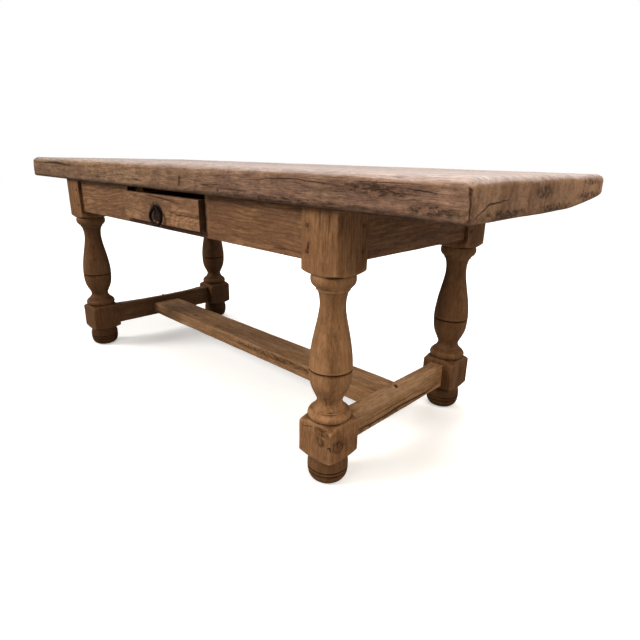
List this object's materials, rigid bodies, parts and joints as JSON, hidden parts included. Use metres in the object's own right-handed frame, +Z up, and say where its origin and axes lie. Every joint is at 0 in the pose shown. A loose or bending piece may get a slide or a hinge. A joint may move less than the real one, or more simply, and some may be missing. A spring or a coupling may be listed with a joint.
{
  "type": "dining table",
  "caption": "Long farmhouse dining table of weathered oak: thick plank top, turned legs, low stretchers and a shallow front drawer with an iron drop ring.",
  "frame": {"origin": "on the floor under the middle of the table top", "axes": "+Z up, +X along the table's length to the right of someone facing the drawer, -Y out of the drawer front"},
  "size_m": [2.072, 0.745, 0.78],
  "materials": {
    "top_oak": "bleached, worn and waxed, matt",
    "leg_oak": "old oak, satin wax on worn grain",
    "frame_oak": "old oak, satin wax, scuffed",
    "peg_oak": "dark end grain",
    "drawer_front_oak": "old oak, satin wax, marked grain",
    "drawer_box_oak": "planed bare oak",
    "inner_oak": "sawn bare oak",
    "black_iron": "forged, blackened and rubbed",
    "screw_steel": "dull zinc",
    "nail_iron": "dull iron"
  },
  "bodies": {
    "root": {"top_plank_front": "top_oak", "top_plank_middle": "top_oak", "top_plank_rear": "top_oak", "top_tongue_front": "inner_oak", "top_tongue_rear": "inner_oak", "leg_front_left": "leg_oak", "leg_front_right": "leg_oak", "leg_rear_left": "leg_oak", "leg_rear_right": "leg_oak", "apron_front": "frame_oak", "apron_rear": "frame_oak", "apron_left": "frame_oak", "apron_right": "frame_oak", "apron_pegs": "peg_oak", "end_stretcher_left": "frame_oak", "end_stretcher_right": "frame_oak", "long_stretcher": "frame_oak", "stretcher_pegs": "peg_oak", "drawer_runner_left": "inner_oak", "drawer_runner_right": "inner_oak", "drawer_kicker_left": "inner_oak", "drawer_kicker_right": "inner_oak", "drawer_stops": "inner_oak", "top_buttons": "inner_oak", "button_screws": "screw_steel", "kicker_screws": "screw_steel"},
    "drawer": {"drawer_front": "drawer_front_oak", "drawer_side_left": "drawer_box_oak", "drawer_side_right": "drawer_box_oak", "drawer_back": "drawer_box_oak", "drawer_bottom": "drawer_box_oak", "bottom_nails": "nail_iron", "pull_backplate": "black_iron", "pull_eye": "black_iron", "pull_washer": "black_iron", "pull_nut": "black_iron"},
    "pull_ring": {"pull_ring": "black_iron"}
  },
  "joints": [
    {"name": "drawer_slide", "type": "slide", "parent": "root", "child": "drawer", "axis": [0, -1, 0], "range_m": [-0.018, 0.32]},
    {"name": "ring_swing", "type": "hinge", "parent": "drawer", "child": "pull_ring", "pos_m": [0, -0.365, 0.648], "axis": [-1, 0, 0], "range_deg": [0, 120]}
  ]
}
